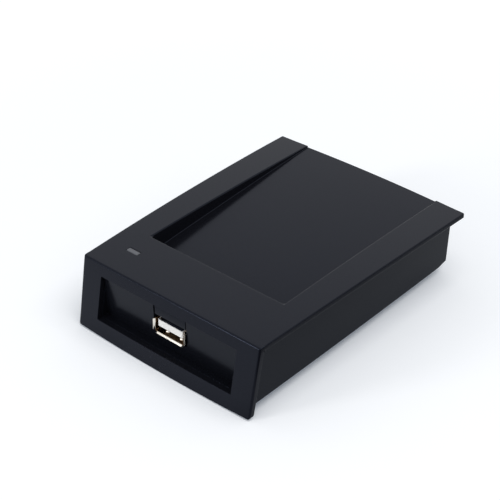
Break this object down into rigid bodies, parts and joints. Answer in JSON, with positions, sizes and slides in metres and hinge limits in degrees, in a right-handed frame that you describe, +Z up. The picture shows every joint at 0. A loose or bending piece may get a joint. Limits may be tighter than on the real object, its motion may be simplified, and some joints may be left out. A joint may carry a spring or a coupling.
{
  "type": "smart card reader",
  "caption": "Desktop contactless card reader: sloping open-ended card recess in the top, leaning front panel with a recessed USB socket, flat flanged cover on an inset housing with rubber feet.",
  "frame": {"origin": "centre of the footprint on the surface that the feet stand on", "axes": "+Z up; the front panel with the socket faces -Y; the card recess is open towards +Y; +X is to the right when the front panel is looked at"},
  "size_m": [0.082, 0.11, 0.026],
  "materials": {
    "case_plastic": "fine spark-eroded texture, satin",
    "foot_rubber": "matt",
    "screw_steel": "zinc plated",
    "board_laminate": "green solder mask",
    "socket_nickel": "bright nickel plate",
    "socket_plastic": "white moulded",
    "contact_gold": "gold flash",
    "light_lens": "milky, translucent",
    "lead_tin": "tinned",
    "component_black": "moulded epoxy",
    "can_metal": "drawn can, satin",
    "can_sleeve": "shrunk sleeve",
    "ceramic_body": "matt",
    "ferrite_body": "matt",
    "antenna_copper": "bare copper under lacquer"
  },
  "bodies": {
    "root": {"top_cover": "case_plastic", "bottom_housing": "case_plastic", "rubber_feet": "foot_rubber", "housing_screws": "screw_steel", "circuit_board": "board_laminate", "board_screws": "screw_steel", "usb_shell": "socket_nickel", "usb_insulator": "socket_plastic", "usb_contacts": "contact_gold", "status_light": "light_lens", "light_leads": "lead_tin", "buzzer": "component_black", "buzzer_pins": "lead_tin", "microcontroller": "component_black", "microcontroller_pins": "lead_tin", "reader_chip": "component_black", "reader_chip_pins": "lead_tin", "crystals": "can_metal", "crystal_leads": "lead_tin", "voltage_regulator": "component_black", "regulator_pins": "lead_tin", "electrolytic_capacitors": "can_sleeve", "capacitor_leads": "lead_tin", "ceramic_capacitors": "ceramic_body", "chip_resistors": "component_black", "matching_inductors": "ferrite_body", "buzzer_transistor": "component_black", "antenna_board": "board_laminate", "antenna_traces": "antenna_copper", "antenna_screws": "screw_steel", "header_strip": "component_black", "header_pins": "contact_gold"}
  },
  "joints": []
}
